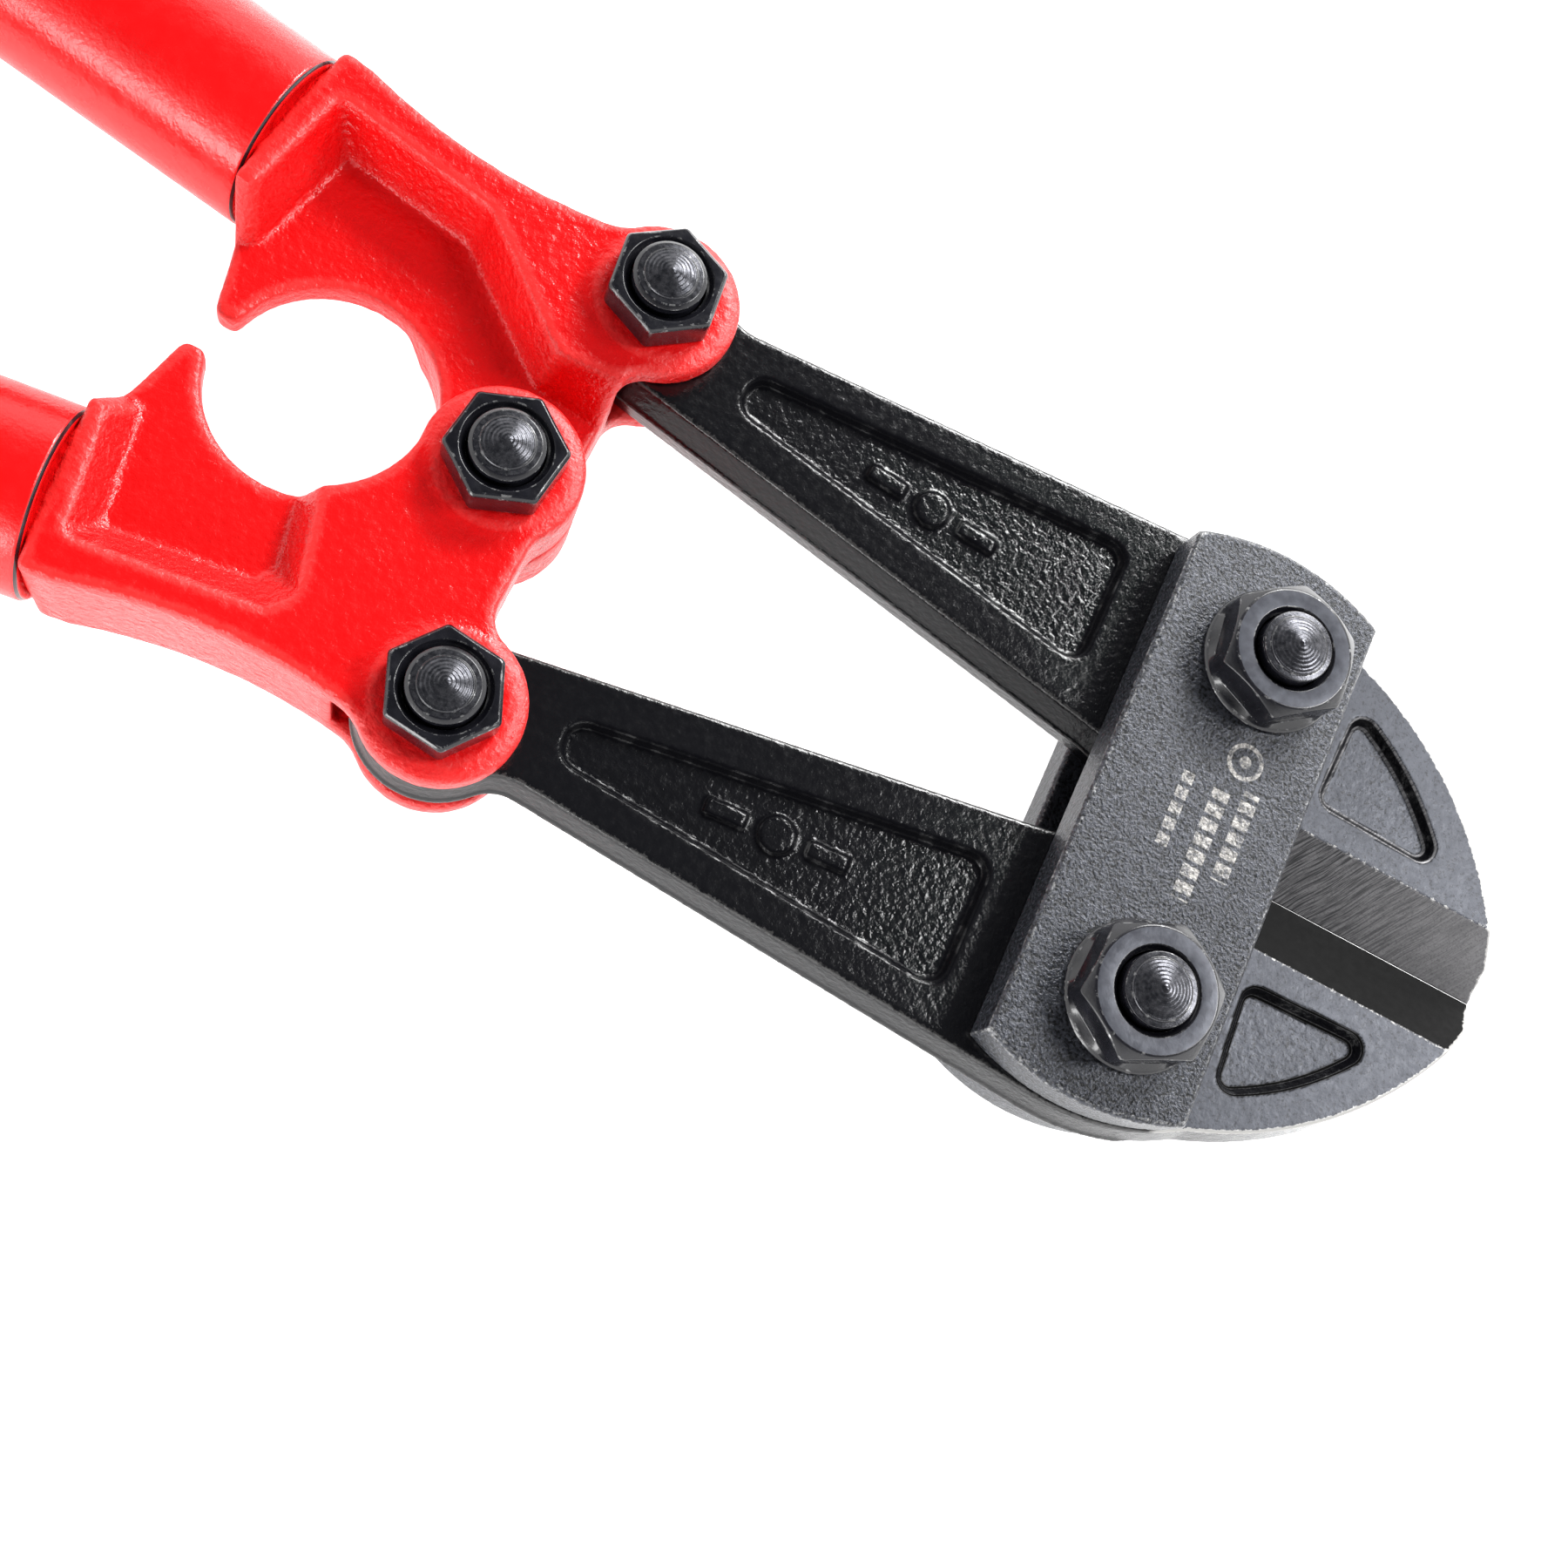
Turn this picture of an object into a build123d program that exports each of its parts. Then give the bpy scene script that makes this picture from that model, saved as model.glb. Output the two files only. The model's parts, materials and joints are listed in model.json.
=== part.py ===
from build123d import *
import os
from math import cos, radians, sin, sqrt

# Bolt cutters of the 450 mm (18 inch) class, closed and lying flat.
#
# X runs along the tool towards the blade tips, Y across it, Z up. The origin is under the middle of
# the tool, at the level of its lowest point. Each lower piece is the upper one turned half a turn
# about the tool's own axis; only the hole for the plate bolt differs between the two jaws.

os.makedirs("parts", exist_ok=True)

# ---------------------------------------------------------------- driving dimensions (mm, degrees)
overall_length = 450.0
mid_height = 19.95              # height of the tool's middle plane above its lowest point

blade_reach = 49.5              # plate pivots to the blade tips
plate_pivot_y = 25.0
jaw_lever = 94.0                # plate pivot to jaw pivot, along the tool
jaw_pivot_y = 31.0
pivot_lead = 7.5                # the jaw pivots stand this far ahead of the centre pivot

jaw_half = 5.35                 # half thickness of a jaw
jaw_draft = 10.0
plate_gap = 0.2                 # each cover plate clears the jaws by this much
plate_thickness = 7.8
head_half = 9.3                 # half thickness of a handle head
lap_gap = 0.1                   # each head stops this short of the middle plane at the half lap
web_thickness = 4.2
boss_height = 0.5
clevis_gap = 0.25               # between a jaw and each ear of its clevis

bolt_radius = 5.0
hole_radius = 5.05              # running fit on a bolt
open_hole_radius = 8.2          # upper jaw's hole, which leaves the linkage open there
tube_radius = 12.7
tube_wall = 1.8
handle_splay = 7.7              # each handle leans outwards by this angle
grip_radius = 15.0
grip_length = 128.0
handle_length = 254.58          # flange face to the end of the grip

# ------------------------------------------------------------------------------ derived positions
plate_pivot_x = overall_length / 2 - blade_reach
jaw_pivot_x = plate_pivot_x - jaw_lever
centre_pivot_x = jaw_pivot_x - pivot_lead
plate_bottom = jaw_half + plate_gap
plate_top = plate_bottom + plate_thickness
slot_half = jaw_half + clevis_gap
seat = head_half + boss_height

plate_origin = Plane((plate_pivot_x, 0, mid_height))      # jaws and plates are drawn from here
centre_origin = Plane((centre_pivot_x, 0, mid_height))    # handle heads are drawn from here
tool_axis = Axis((0, 0, mid_height), (1, 0, 0))

joint_centre = (-45.2, 29.15)   # middle of the flange face, from the centre pivot
tube_plane = Plane(
    origin=(centre_pivot_x + joint_centre[0], joint_centre[1], mid_height),
    x_dir=(0, 0, 1),
    z_dir=(-cos(radians(handle_splay)), sin(radians(handle_splay)), 0),
)


def save(part, label):
    """Name a finished piece and write it."""
    part.label = label
    export_step(part, f"parts/{label}.step")


def save_pair(part, label):
    """Write a piece as the upper one, and turned over about the tool axis as the lower one."""
    save(part, f"upper_{label}")
    save(part.rotate(tool_axis, 180), f"lower_{label}")


# ------------------------------------------------------------------------------------------- jaws
# Points are measured from the middle between the plate pivots, at the mid plane of the forging.
blade_gap = 0.15                # each cutting edge stays this far from the tool axis
hub_centre = (-2.15, 7.05)
hub_radius = 34.7
nose_corner = (49.4, 5.0)       # the round outline ends here, and a short nose runs to the edge
bevel_width = 9.2               # width of each ground bevel on the jaw's face
recess_depth = 1.5
arm_recess_slope = 20.0
blade_recess_slope = 35.0


def hub_outline(x, radius):
    """Height of the round outline over the hub at x."""
    return hub_centre[1] + sqrt(radius**2 - (x - hub_centre[0]) ** 2)


def jaw(plate_hole_radius):
    """Upper jaw: arm, hub and blade in one forging, with a recess on each face of arm and blade."""
    nose_start = (16.3, hub_outline(16.3, hub_radius))
    arm_start = (-4.8, hub_outline(-4.8, hub_radius))
    tail = (-jaw_lever, jaw_pivot_y)
    with BuildPart() as forging:
        with BuildSketch(plate_origin):
            with BuildLine():
                Line((blade_reach, blade_gap), nose_corner)
                ThreePointArc(nose_corner, (38.4, 22.2), nose_start)
                ThreePointArc(nose_start, (6.0, hub_outline(6.0, hub_radius)), arm_start)
                Polyline(
                    arm_start, (-97.0, 34.7), (-95.8, 20.35), (-16.5, 6.85), (6.0, blade_gap),
                    (blade_reach, blade_gap),
                )
            make_face()
            with Locations(tail):
                Circle(10.8)
            fillet(vertices().sort_by_distance((-85.0, 36.0))[0], 6.0)
        extrude(amount=jaw_half, taper=jaw_draft)
        mirror(about=plate_origin)
        # the bevels meet in the cutting edge at the mid plane, and run out under the plates
        with BuildSketch(Plane(plate_origin.origin + Vector(8, 0, 0), x_dir=(0, 1, 0), z_dir=(1, 0, 0))):
            for side in (1, -1):
                with BuildLine():
                    Polyline(
                        (blade_gap, 0), (bevel_width, side * jaw_half), (bevel_width, side * 9.0),
                        (-9.0, side * 9.0), (-9.0, 0), close=True,
                    )
                make_face()
        extrude(amount=blade_reach, mode=Mode.SUBTRACT)
        for face in (plate_origin.offset(jaw_half), plate_origin.offset(-jaw_half)):
            inwards = -recess_depth if face.origin.Z > mid_height else recess_depth
            with BuildSketch(face):
                with BuildLine():
                    Polyline((-21.6, 34.2), (-78.2, 30.2), (-79.6, 24.3), (-21.6, 14.8), close=True)
                make_face()
                fillet(vertices(), 3.0)
            extrude(amount=inwards, taper=arm_recess_slope, mode=Mode.SUBTRACT)
            with BuildSketch(face):
                with BuildLine():
                    Line((17.0, 29.9), (16.0, 13.7))
                    Line((16.0, 13.7), (37.2, 13.0))
                    ThreePointArc((37.2, 13.0), (29.0, 22.6), (17.0, 29.9))
                make_face()
                fillet(vertices(), 2.4)
            extrude(amount=inwards, taper=blade_recess_slope, mode=Mode.SUBTRACT)
        with BuildSketch(plate_origin.offset(-jaw_half)):
            with Locations(tail):
                Circle(hole_radius)
            with Locations((0, plate_pivot_y)):
                Circle(plate_hole_radius)
        extrude(amount=2 * jaw_half, mode=Mode.SUBTRACT)
    return forging.part


# ------------------------------------------------------------------------------------ handle heads
# Points are measured from the centre pivot. The upper head's ear lies under the lower head's ear.
clevis = (pivot_lead, jaw_pivot_y)
ear_radius = 10.7
notch_centre = (-25.0, 1.0)
notch_radius = 14.5
slot_radius = 13.0
boss_radius = 9.2
tang_width = 17.0               # the tang that runs inside the tube, flat on both sides
tang_length = 38.0

# Foot and brow of the sloped walls round the open recess (on top) and the closed pocket (beneath)
recess_foot = (
    (-60, 13.2), (-42.4, 13.6), (-38.3, 31.5), (-19.0, 29.0), (-2.0, 15.2), (20, 13.2),
    (20, -20), (-60, -20),
)
recess_brow = (
    (-60, 17.6), (-44.2, 17.2), (-40.8, 34.3), (-17.2, 30.6), (-0.6, 16.9), (20, 19.2),
    (20, -20), (-60, -20),
)
pocket_foot = (
    (-60, 13.2), (-42.2, 14.0), (-38.9, 30.1), (-20.0, 27.2), (-18.2, 24.6), (-20.6, 15.0),
    (-23, 2), (-60, 2),
)
pocket_brow = (
    (-60, 17.6), (-44.6, 17.6), (-41.0, 34.5), (-16.2, 31.2), (-13.6, 28.0), (-17.4, 15.9),
    (-20, 2), (-60, 2),
)


def handle_head():
    """Upper handle head: flange and tang, rim, web with its stop, ear and clevis, in one casting."""
    with BuildPart() as casting:
        with BuildSketch(centre_origin.offset(-head_half)):
            with BuildLine():
                Polyline((0.5, 37.8), (8.0, 25.0), (8.0, 2.0), (0.0, -3.0), (-9.5, -1.0), (-38.9, 3.1),
                         (-42.5, 3.5), (-43.5, 8.0), (-44.7, 12.9), (-46.8, 17.6), (-43.6, 40.7),
                         (-39.0, 40.0))
                ThreePointArc((-39.0, 40.0), (-20.0, 36.4), (0.5, 37.8))
            make_face()
            with Locations(notch_centre):
                Circle(notch_radius, mode=Mode.SUBTRACT)
            Circle(ear_radius)
            with Locations(clevis):
                Circle(ear_radius)
            fillet(vertices().sort_by_distance((-1.0, 37.6))[0], 7.0)
            fillet(vertices().sort_by_distance((8.0, 20.3))[0], 4.5)
            fillet(vertices().sort_by_distance((8.0, 7.1))[0], 5.0)
            fillet(vertices().sort_by_distance((-39.2, 3.1))[0], 1.3)
            fillet(vertices().sort_by_distance((-42.5, 3.5))[0], 1.6)
            fillet(vertices().sort_by_distance((-43.6, 40.7))[0], 1.0)
        extrude(amount=2 * head_half)
        for foot, foot_height, brow, brow_height in (
            (recess_foot, -lap_gap, recess_brow, head_half + 0.01),
            (pocket_foot, -lap_gap - web_thickness, pocket_brow, -head_half - 0.01),
        ):
            for outline, height in ((foot, foot_height), (brow, brow_height)):
                with BuildSketch(centre_origin.offset(height)):
                    Polygon(*outline, align=None)
                    fillet(vertices(), 0.9)
            loft(mode=Mode.SUBTRACT)
        with BuildSketch(tube_plane):
            Circle(tube_radius - tube_wall - 0.1)
            Rectangle(tang_width, 2 * tube_radius, mode=Mode.INTERSECT)
        extrude(amount=tang_length)
        with BuildSketch(centre_origin.offset(-seat)):
            with Locations(clevis, (0, 0)):
                Circle(boss_radius)
        extrude(amount=boss_height, taper=-40)
        with BuildSketch(centre_origin.offset(seat)):
            with Locations(clevis):
                Circle(boss_radius)
        extrude(amount=-boss_height, taper=-40)
        with BuildSketch(centre_origin.offset(-slot_half)):
            with Locations(clevis):
                Circle(slot_radius)
            with Locations((clevis[0] + 12, clevis[1] + 4)):
                Rectangle(26, 30)
        extrude(amount=2 * slot_half, mode=Mode.SUBTRACT)
        with BuildSketch(centre_origin.offset(-seat)):
            with Locations(clevis, (0, 0)):
                Circle(hole_radius)
        extrude(amount=2 * seat, mode=Mode.SUBTRACT)
    return casting.part


def handle_tube():
    """Round steel tube, closed off inside the grip."""
    with BuildPart() as tube:
        with BuildSketch(tube_plane.offset(0.3)):
            Circle(tube_radius)
            Circle(tube_radius - tube_wall, mode=Mode.SUBTRACT)
        extrude(amount=handle_length - 3.5)
        chamfer(edges().group_by(Axis(tube_plane.origin, tube_plane.z_dir))[0], 0.3)
    return tube.part


def handle_grip():
    """Moulded grip: sleeve with a collar, finger ribs and a domed end."""
    start = handle_length - grip_length
    with BuildPart() as grip:
        with BuildSketch(tube_plane.offset(start)):
            Circle(grip_radius)
        extrude(amount=grip_length)
        fillet(edges().group_by(Axis(tube_plane.origin, tube_plane.z_dir))[-1], 4.0)
        with BuildSketch(tube_plane.offset(start)):
            Circle(grip_radius + 1.6)
        extrude(amount=6.0)
        chamfer(edges().group_by(Axis(tube_plane.origin, tube_plane.z_dir))[0], 1.2)
        with BuildSketch(tube_plane.offset(start)):
            Circle(tube_radius)
        extrude(amount=grip_length - 3.0, mode=Mode.SUBTRACT)
    return grip.part


# --------------------------------------------------------------------------------- cover plates
plate_rear = -16.0
plate_front = 12.4
plate_end_radius = 33.5


def cover_plate(bottom):
    """Straight sides, and ends that follow the jaws' round outline."""
    corner_rear = (plate_rear, hub_outline(plate_rear, plate_end_radius))
    corner_front = (plate_front, hub_outline(plate_front, plate_end_radius))
    middle = (plate_rear + plate_front) / 2
    crown = (middle, hub_outline(middle, plate_end_radius))
    with BuildPart() as plate:
        with BuildSketch(plate_origin.offset(bottom)):
            with BuildLine():
                ThreePointArc(corner_rear, crown, corner_front)
                Line(corner_front, (plate_front, 0))
                Line((plate_front, 0), (plate_rear, 0))
                Line((plate_rear, 0), corner_rear)
            make_face()
            mirror(about=Plane.XZ)
            with Locations((0, plate_pivot_y), (0, -plate_pivot_y)):
                Circle(hole_radius, mode=Mode.SUBTRACT)
        extrude(amount=plate_thickness)
        chamfer(faces().sort_by(Axis.Z)[-1].outer_wire().edges(), 0.5)
        chamfer(faces().sort_by(Axis.Z)[0].outer_wire().edges(), 0.5)
    return plate.part


# ------------------------------------------------------------------------------- bolts and nuts
def hexagon(across_flats, turn):
    """Hexagon of the sketch under construction."""
    RegularPolygon(across_flats / 2, 6, major_radius=False, rotation=turn)


def bolt(place, head_top, head_thickness, across_flats, end_height, turn):
    """Hexagon-head bolt with its head beneath, and a turned cone at the end of its thread."""
    corner = across_flats / sqrt(3)
    with BuildPart() as bolt_body:
        with BuildSketch(place.offset(head_top - head_thickness)):
            hexagon(across_flats, turn)
        extrude(amount=head_thickness)
        with BuildSketch(Plane(place.origin, x_dir=place.x_dir, z_dir=(0, -1, 0))):
            with BuildLine():
                base = head_top - head_thickness
                Polyline((0, base), (across_flats / 2 - 0.6, base), (corner, base + 1.4), (corner, head_top),
                         (0, head_top), close=True)
            make_face()
        revolve(axis=Axis(place.origin, (0, 0, 1)), mode=Mode.INTERSECT)
        with BuildSketch(Plane(place.origin, x_dir=place.x_dir, z_dir=(0, -1, 0))):
            with BuildLine():
                Polyline((0, head_top - 1), (bolt_radius, head_top - 1), (bolt_radius, end_height - 2.2),
                         (bolt_radius - 0.5, end_height - 1.6), (bolt_radius - 0.5, end_height - 1.2),
                         (0.6, end_height), (0, end_height), close=True)
            make_face()
        revolve(axis=Axis(place.origin, (0, 0, 1)))
    return bolt_body.part


def nut(place, base, thickness, across_flats, turn, flange_radius=0.0, face_radius=0.0):
    """Hexagon nut, countersunk on top; with a flange, its top corners are turned to a cone."""
    corner = across_flats / sqrt(3)
    top = base + thickness
    with BuildPart() as nut_body:
        with BuildSketch(place.offset(base)):
            hexagon(across_flats, turn)
        extrude(amount=thickness)
        with BuildSketch(Plane(place.origin, x_dir=place.x_dir, z_dir=(0, -1, 0))):
            with BuildLine():
                if flange_radius:
                    Polyline((0, base), (corner, base), (corner, top - 2.2), (face_radius, top), (0, top),
                             close=True)
                else:
                    Polyline((0, base), (across_flats / 2 - 0.3, base), (corner, base + 0.9),
                             (corner, top - 1.0), (across_flats / 2 - 0.5, top), (0, top), close=True)
            make_face()
        revolve(axis=Axis(place.origin, (0, 0, 1)), mode=Mode.INTERSECT)
        if flange_radius:
            with BuildSketch(place.offset(base)):
                Circle(flange_radius)
            extrude(amount=1.2, taper=12)
        with Locations(place.offset(top)):
            CounterSinkHole(hole_radius, hole_radius + 1.0, depth=thickness + 1)
    return nut_body.part


save(jaw(open_hole_radius), "upper_jaw")
save(jaw(hole_radius).rotate(tool_axis, 180), "lower_jaw")
save_pair(handle_head(), "handle_head")
save_pair(handle_tube(), "handle_tube")
save_pair(handle_grip(), "handle_grip")
save(cover_plate(plate_bottom), "front_cover_plate")
save(cover_plate(-plate_top), "rear_cover_plate")

handle_nut_turns = {"centre": 23.5, "upper": -22.5, "lower": 53.5}
plate_nut_turns = {"upper": 37.0, "lower": 25.6}
for side, name in ((1, "upper"), (-1, "lower")):
    place = Plane((plate_pivot_x, side * plate_pivot_y, mid_height))
    turn = plate_nut_turns[name]
    save(bolt(place, -plate_top, 6.6, 17.0, 22.6, turn), f"{name}_plate_bolt")
    save(nut(place, plate_top, 6.6, 17.0, turn, 9.95, 8.1), f"{name}_plate_flange_nut")
    place = Plane((jaw_pivot_x, side * jaw_pivot_y, mid_height))
    turn = handle_nut_turns[name]
    save(bolt(place, -seat, 6.0, 14.0, 17.6, turn), f"{name}_jaw_pivot_bolt")
    save(nut(place, seat, 5.1, 14.0, turn), f"{name}_jaw_pivot_nut")
turn = handle_nut_turns["centre"]
save(bolt(centre_origin, -seat, 6.0, 14.0, 17.3, turn), "centre_pivot_bolt")
save(nut(centre_origin, seat, 5.1, 14.0, turn), "centre_pivot_nut")
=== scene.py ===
import json
from math import cos, pi, radians, sin, sqrt, tan

import bmesh
import bpy
import numpy as np
from mathutils import Matrix, Vector


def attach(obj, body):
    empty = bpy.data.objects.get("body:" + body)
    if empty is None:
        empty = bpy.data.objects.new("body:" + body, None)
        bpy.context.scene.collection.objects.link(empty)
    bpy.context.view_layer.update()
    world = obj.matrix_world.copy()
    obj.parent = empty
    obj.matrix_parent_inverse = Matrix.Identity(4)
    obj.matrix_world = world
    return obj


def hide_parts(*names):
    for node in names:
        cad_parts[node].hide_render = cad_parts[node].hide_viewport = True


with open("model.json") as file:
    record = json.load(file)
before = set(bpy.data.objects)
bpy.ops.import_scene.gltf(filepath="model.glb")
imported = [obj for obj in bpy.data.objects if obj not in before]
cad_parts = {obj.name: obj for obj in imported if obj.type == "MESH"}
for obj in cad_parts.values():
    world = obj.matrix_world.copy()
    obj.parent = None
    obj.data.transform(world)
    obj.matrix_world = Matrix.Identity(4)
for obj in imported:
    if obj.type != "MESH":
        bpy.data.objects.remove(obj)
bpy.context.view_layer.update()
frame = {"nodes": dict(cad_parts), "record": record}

# Bolt cutters, closed and lying flat. Lengths are in metres unless mm is said, X runs to the blade tips
# and Z is up.
# Every CAD node is replaced by a detailed piece of the same shape and place.

MM = 0.001
MID = 19.95 * MM                 # height of the tool's middle plane
PLATE_X = 175.5 * MM             # the plate bolts stand at this X,
PLATE_BOLT_Y = 25 * MM           # this far to each side of the tool's axis
CENTRE_X = 74.0 * MM             # centre pivot of the handles
JAW_PIVOT_X = CENTRE_X + 7.5 * MM
JAW_PIVOT_Y = 31 * MM
JAW_HALF = 5.35 * MM             # half the jaws' thickness
RECESS_DEPTH = 1.5 * MM
TUBE_RADIUS = 12.7               # the turned pieces' profiles are in mm

BODY_OF = {node: body for body, nodes in frame["record"]["behaviour"]["bodies"].items() for node in nodes}


# ------------------------------------------------------------------------------------ camera, stage
def add_camera():
    target = Vector((124.96, -17.6, 19.95)) * MM
    place = Vector((97.14, -91.05, 258.76)) * MM
    camera = bpy.data.objects.new("camera", bpy.data.cameras.new("camera"))
    camera.data.lens = 44.0
    camera.data.sensor_width = 36.0
    camera.data.clip_start = 0.01
    turn = (target - place).to_track_quat("-Z", "Y").to_matrix().to_4x4()
    camera.matrix_world = Matrix.Translation(place) @ turn @ Matrix.Rotation(radians(47.37), 4, "Z")
    bpy.context.collection.objects.link(camera)
    bpy.context.scene.camera = camera


def add_softbox(name, place, target, size, power):
    lamp = bpy.data.lights.new(name, "AREA")
    lamp.shape = "RECTANGLE"
    lamp.size, lamp.size_y = size
    lamp.energy = power
    box = bpy.data.objects.new(name, lamp)
    box.location = place
    box.rotation_euler = (Vector(target) - Vector(place)).to_track_quat("-Z", "Y").to_euler()
    bpy.context.collection.objects.link(box)


def add_stage():
    world = bpy.data.worlds.new("studio")
    world.use_nodes = True
    nodes, links = world.node_tree.nodes, world.node_tree.links
    where = nodes.new("ShaderNodeTexCoord")
    split = nodes.new("ShaderNodeSeparateXYZ")
    ramp = nodes.new("ShaderNodeValToRGB")
    ramp.color_ramp.elements[0].position = 0.44
    ramp.color_ramp.elements[0].color = (1.0, 1.0, 1.0, 1.0)
    ramp.color_ramp.elements[1].position = 0.7
    ramp.color_ramp.elements[1].color = (0.05, 0.052, 0.056, 1.0)
    links.new(where.outputs["Generated"], split.inputs[0])
    links.new(split.outputs["Z"], ramp.inputs[0])
    links.new(ramp.outputs[0], nodes["Background"].inputs["Color"])
    nodes["Background"].inputs["Strength"].default_value = 1.7
    bpy.context.scene.world = world
    bpy.context.scene.view_settings.view_transform = "Standard"

    bpy.ops.mesh.primitive_plane_add(size=30, location=(0, 0, 0))
    floor = bpy.context.object
    floor.name = "floor"
    paper = bpy.data.materials.new("floor_paper")
    paper.use_nodes = True
    shader = paper.node_tree.nodes["Principled BSDF"]
    shader.inputs["Base Color"].default_value = (0.9, 0.9, 0.9, 1)
    shader.inputs["Roughness"].default_value = 0.9
    shader.inputs["Emission Color"].default_value = (1, 1, 1, 1)
    shader.inputs["Emission Strength"].default_value = 0.95
    floor.data.materials.append(paper)

    add_softbox("softbox_key", (0.3, 0.8, 0.6), (0.1, 0, 0), (0.5, 0.3), 13.0)
    add_softbox("softbox_fill", (-0.3, -0.9, 0.25), (0.1, 0, 0), (0.6, 0.25), 5.0)
    add_softbox("softbox_blades", (0.72, 0.3, 0.82), (0.2, 0, 0), (0.3, 0.3), 6.5)


add_camera()
add_stage()


# ---------------------------------------------------------------------------------- mesh helpers
def body_part(piece, node, materials):
    """The piece stands for a CAD node: it gets the given materials, rides on that node's body, and the node
    is hidden.
    """
    for material in materials:
        piece.data.materials.append(material)
    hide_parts(node)
    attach(piece, BODY_OF[node])


def new_piece(name, mesh):
    piece = bpy.data.objects.new(name, mesh)
    bpy.context.collection.objects.link(piece)
    return piece


def add_box(target, centre, size, turn=0.0):
    """A box among the faces of target, turned about Z."""
    place = Matrix.Translation(centre) @ Matrix.Rotation(turn, 4, "Z") @ Matrix.Diagonal((*size, 1.0))
    bmesh.ops.create_cube(target, size=1.0, matrix=place)


def add_disc(target, centre, radius, height):
    bmesh.ops.create_cone(target, cap_ends=True, segments=48, radius1=radius, radius2=radius, depth=height,
                          matrix=Matrix.Translation(centre))


def remeshed(name, node, voxel, extras=None):
    """A voxel remesh of the node's own shape, with any extra solids fused to it."""
    shape = bmesh.new()
    shape.from_mesh(frame["nodes"][node].data)
    bmesh.ops.remove_doubles(shape, verts=shape.verts, dist=1e-7)
    if extras:
        extras(shape)
    mesh = bpy.data.meshes.new(name)
    shape.to_mesh(mesh)
    shape.free()
    piece = new_piece(name, mesh)
    remesh = piece.modifiers.new("remesh", "REMESH")
    remesh.mode = "VOXEL"
    remesh.voxel_size = voxel * 1.0
    bpy.context.view_layer.update()
    solid = bpy.data.meshes.new_from_object(piece.evaluated_get(bpy.context.evaluated_depsgraph_get()))
    piece.modifiers.clear()
    piece.data = solid
    solid.name = name
    solid.materials.clear()
    solid.shade_smooth()
    return piece


def points_of(mesh):
    points = np.empty(len(mesh.vertices) * 3)
    mesh.vertices.foreach_get("co", points)
    return points.reshape(-1, 3)


def normals_of(mesh):
    normals = np.empty(len(mesh.vertices) * 3)
    mesh.vertices.foreach_get("normal", normals)
    return normals.reshape(-1, 3)


def relaxed(mesh, points, passes, freedom=1.0):
    """The points, each moved towards the mean of its neighbours passes times."""
    ends = np.empty(len(mesh.edges) * 2, np.int64)
    mesh.edges.foreach_get("vertices", ends)
    a, b = ends.reshape(-1, 2).T
    count = len(points)
    degree = np.bincount(a, minlength=count) + np.bincount(b, minlength=count)
    step = 0.5 * (freedom[:, None] if isinstance(freedom, np.ndarray) else freedom)
    for _ in range(passes):
        mean = np.stack([np.bincount(a, points[b, i], count) + np.bincount(b, points[a, i], count)
                         for i in range(3)], axis=1) / degree[:, None]
        points = points + step * (mean - points)
    return points


def set_points(mesh, points):
    mesh.vertices.foreach_set("co", points.ravel())
    mesh.update()


def mark_edges(mesh, passes, share=1.0):
    """Stores how far each vertex stands out from its smoothed neighbourhood, in hundredths of a mm."""
    points = points_of(mesh)
    out = ((points - relaxed(mesh, points, passes)) * normals_of(mesh)).sum(axis=1) * share
    store = mesh.attributes.new("edge", "FLOAT", "POINT")
    store.data.foreach_set("value", out / (0.01 * MM))


def rough_skin(piece, name, size, height, depth=2, group=""):
    """Displaces the piece with cloud noise of that feature size and height."""
    clouds = bpy.data.textures.new(name, "CLOUDS")
    clouds.noise_scale = size
    clouds.noise_depth = depth
    skin = piece.modifiers.new(name, "DISPLACE")
    skin.texture = clouds
    skin.texture_coords = "LOCAL"
    skin.strength = height
    skin.mid_level = 0.5
    skin.vertex_group = group


def spin(name, profile, place, segments=144, first=0.0, closed=False):
    """A mesh turned about Z. profile(angle) gives (radius, height, material) in mm, from first to last."""
    columns = [profile(first + 2 * pi * k / segments) for k in range(segments)]
    rows = len(columns[0])
    shape = bmesh.new()
    grid = []
    for k, column in enumerate(columns):
        angle = first + 2 * pi * k / segments
        grid.append([shape.verts.new((r * cos(angle) * MM, r * sin(angle) * MM, z * MM))
                     for r, z, _ in column])
    for k in range(segments):
        here, after = grid[k], grid[(k + 1) % segments]
        for i in range(rows if closed else rows - 1):
            j = (i + 1) % rows
            face = shape.faces.new((here[i], after[i], after[j], here[j]))
            face.material_index = columns[k][i][2]
            face.smooth = True
    bmesh.ops.remove_doubles(shape, verts=shape.verts, dist=1e-7)
    bmesh.ops.recalc_face_normals(shape, faces=shape.faces)
    mesh = bpy.data.meshes.new(name)
    shape.to_mesh(mesh)
    shape.free()
    mesh.transform(place)
    return new_piece(name, mesh)


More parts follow.
